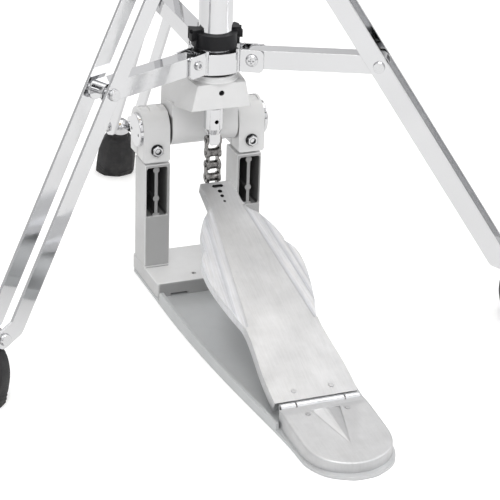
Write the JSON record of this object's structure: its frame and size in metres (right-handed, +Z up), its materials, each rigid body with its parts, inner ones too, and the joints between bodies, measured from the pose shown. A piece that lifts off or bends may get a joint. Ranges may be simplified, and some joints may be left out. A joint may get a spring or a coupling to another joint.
{
  "type": "hi-hat cymbal stand",
  "caption": "Hi-hat cymbal stand: pedal on a flat base plate, roller chain to a pull rod in a chrome tube, folding double-strip legs, cymbal seat, clutch and a pair of cymbals.",
  "frame": {"origin": "on the floor, on the vertical axis of the tube and pull rod", "axes": "+Z up along the tube, the pedal's heel toward -Y, +X to the player's right"},
  "size_m": [0.58, 0.707, 1.01],
  "materials": {
    "chrome": "polished",
    "grey_paint": "satin light grey paint on cast aluminium",
    "steel_plate": "satin grey",
    "cast_aluminium": "brushed",
    "bright_steel": "bright",
    "dark_steel": "oiled",
    "black_plastic": "matte",
    "rubber": "matte",
    "felt": "felt",
    "cymbal_bronze": "lathed"
  },
  "bodies": {
    "stand_base": {"base_plate": "steel_plate", "yoke": "grey_paint", "deck_screws": "bright_steel", "bearing_caps": "grey_paint", "cap_bolts": "chrome", "pivot_axle": "bright_steel", "axle_end_discs": "chrome", "column_block": "grey_paint", "block_set_screw": "dark_steel", "lower_tube": "chrome", "tube_flange": "grey_paint", "hub_washer": "rubber", "lock_collar": "black_plastic", "lock_collar_screw": "bright_steel", "heel_plate": "cast_aluminium", "heel_hinge_leaf": "bright_steel", "heel_rivets": "bright_steel", "hinge_pin": "bright_steel", "tube_bushing": "black_plastic", "height_clamp": "black_plastic", "spring_seat": "bright_steel", "return_spring": "bright_steel"},
    "height_wing": {"height_wing_bolt": "chrome"},
    "leg_hub": {"leg_hub": "chrome", "hub_bolts": "chrome"},
    "leg_collar": {"leg_collar": "chrome"},
    "collar_wing": {"collar_wing_screw": "chrome"},
    "pedal": {"footboard": "cast_aluminium", "footboard_hinge_leaf": "bright_steel", "footboard_rivets": "bright_steel", "chain_anchor": "bright_steel"},
    "pull_rod": {"rod_connector": "chrome", "pull_rod": "chrome", "spring_cup": "bright_steel"},
    "chain": {"chain_outer_plates": "dark_steel", "chain_inner_plates": "dark_steel", "chain_rollers": "dark_steel", "chain_pins": "dark_steel"},
    "upper_tube": {"upper_tube": "chrome", "cymbal_seat": "black_plastic", "seat_felt": "felt"},
    "tilt_screw": {"seat_tilt_screw": "chrome"},
    "bottom_cymbal": {"bottom_cymbal": "cymbal_bronze"},
    "clutch": {"clutch_nuts": "chrome", "clutch_felts": "felt", "clutch_body": "chrome"},
    "clutch_wing": {"clutch_wing_screw": "chrome"},
    "top_cymbal": {"top_cymbal": "cymbal_bronze"},
    "strut_back": {"strut_back": "chrome"},
    "leg_back": {"leg_strips_back": "chrome", "leg_fittings_back": "chrome", "rubber_foot_back": "rubber"},
    "strut_right": {"strut_right": "chrome"},
    "leg_right": {"leg_strips_right": "chrome", "leg_fittings_right": "chrome", "rubber_foot_right": "rubber"},
    "strut_left": {"strut_left": "chrome"},
    "leg_left": {"leg_strips_left": "chrome", "leg_fittings_left": "chrome", "rubber_foot_left": "rubber"}
  },
  "joints": [
    {"name": "pedal_press", "type": "hinge", "parent": "stand_base", "child": "pedal", "pos_m": [0, -0.275, 0.017], "axis": [-1, 0, 0], "range_deg": [0, 6]},
    {"name": "rod_pull", "type": "slide", "parent": "stand_base", "child": "pull_rod", "axis": [0, 0, -1], "range_m": [0, 0.02983], "deforming": ["return_spring"]},
    {"name": "chain_swing", "type": "hinge", "parent": "pull_rod", "child": "chain", "pos_m": [0, 0, 0.154], "axis": [1, 0, 0], "range_deg": [0, 8.51]},
    {"name": "hub_swivel", "type": "hinge", "parent": "stand_base", "child": "leg_hub", "pos_m": [0, 0, 0.24], "axis": [0, 0, 1], "range_deg": [-12, 12]},
    {"name": "leg_fold", "type": "hinge", "parent": "leg_hub", "child": "strut_back", "pos_m": [0, 0.036, 0.24], "axis": [1, 0, 0], "range_deg": [0, 61.74]},
    {"name": "leg_back_swing", "type": "hinge", "parent": "strut_back", "child": "leg_back", "pos_m": [0, 0.154, 0.2446], "axis": [1, 0, 0], "range_deg": [-82.06, 0]},
    {"name": "strut_right_fold", "type": "hinge", "parent": "leg_hub", "child": "strut_right", "pos_m": [0.03118, -0.018, 0.24], "axis": [-0.5, -0.866, 0], "range_deg": [0, 61.77]},
    {"name": "leg_right_swing", "type": "hinge", "parent": "strut_right", "child": "leg_right", "pos_m": [0.13337, -0.077, 0.2446], "axis": [-0.5, -0.866, 0], "range_deg": [-82.06, 0]},
    {"name": "strut_left_fold", "type": "hinge", "parent": "leg_hub", "child": "strut_left", "pos_m": [-0.03118, -0.018, 0.24], "axis": [-0.5, 0.866, 0], "range_deg": [0, 61.77]},
    {"name": "leg_left_swing", "type": "hinge", "parent": "strut_left", "child": "leg_left", "pos_m": [-0.13337, -0.077, 0.2446], "axis": [-0.5, 0.866, 0], "range_deg": [-82.06, 0]},
    {"name": "leg_collar_slide", "type": "slide", "parent": "leg_hub", "child": "leg_collar", "axis": [0, 0, 1], "range_m": [0, 0.13124]},
    {"name": "collar_wing_turn", "type": "hinge", "parent": "leg_collar", "child": "collar_wing", "pos_m": [0, -0.03, 0.4177], "axis": [0, -1, 0], "continuous": true},
    {"name": "height_adjust", "type": "slide", "parent": "stand_base", "child": "upper_tube", "axis": [0, 0, 1], "range_m": [-0.06, 0]},
    {"name": "height_wing_turn", "type": "hinge", "parent": "stand_base", "child": "height_wing", "pos_m": [0, 0.034, 0.587], "axis": [1, 0, 0], "continuous": true},
    {"name": "bottom_cymbal_spin", "type": "hinge", "parent": "upper_tube", "child": "bottom_cymbal", "pos_m": [0, 0, 0.825], "axis": [0, 0, 1], "continuous": true},
    {"name": "tilt_screw_turn", "type": "hinge", "parent": "upper_tube", "child": "tilt_screw", "pos_m": [0.023, 0, 0.8], "axis": [0, 0, 1], "continuous": true},
    {"name": "clutch_slide", "type": "slide", "parent": "pull_rod", "child": "clutch", "axis": [0, 0, 1], "range_m": [0, 0.025]},
    {"name": "clutch_wing_turn", "type": "hinge", "parent": "clutch", "child": "clutch_wing", "pos_m": [0.008, 0, 0.944], "axis": [1, 0, 0], "continuous": true},
    {"name": "top_cymbal_spin", "type": "hinge", "parent": "clutch", "child": "top_cymbal", "pos_m": [0, 0, 0.9], "axis": [0, 0, 1], "continuous": true}
  ],
  "couplings": [
    {"joint": "rod_pull", "follows": "pedal_press", "m_per_rad": 0.28433},
    {"joint": "chain_swing", "follows": "pedal_press", "ratio": 1.4157},
    {"joint": "leg_back_swing", "follows": "leg_fold", "ratio": -1.3286},
    {"joint": "strut_right_fold", "follows": "leg_fold", "ratio": 1},
    {"joint": "leg_right_swing", "follows": "leg_fold", "ratio": -1.3286},
    {"joint": "strut_left_fold", "follows": "leg_fold", "ratio": 1},
    {"joint": "leg_left_swing", "follows": "leg_fold", "ratio": -1.3286},
    {"joint": "leg_collar_slide", "follows": "leg_fold", "m_per_rad": 0.12174}
  ]
}
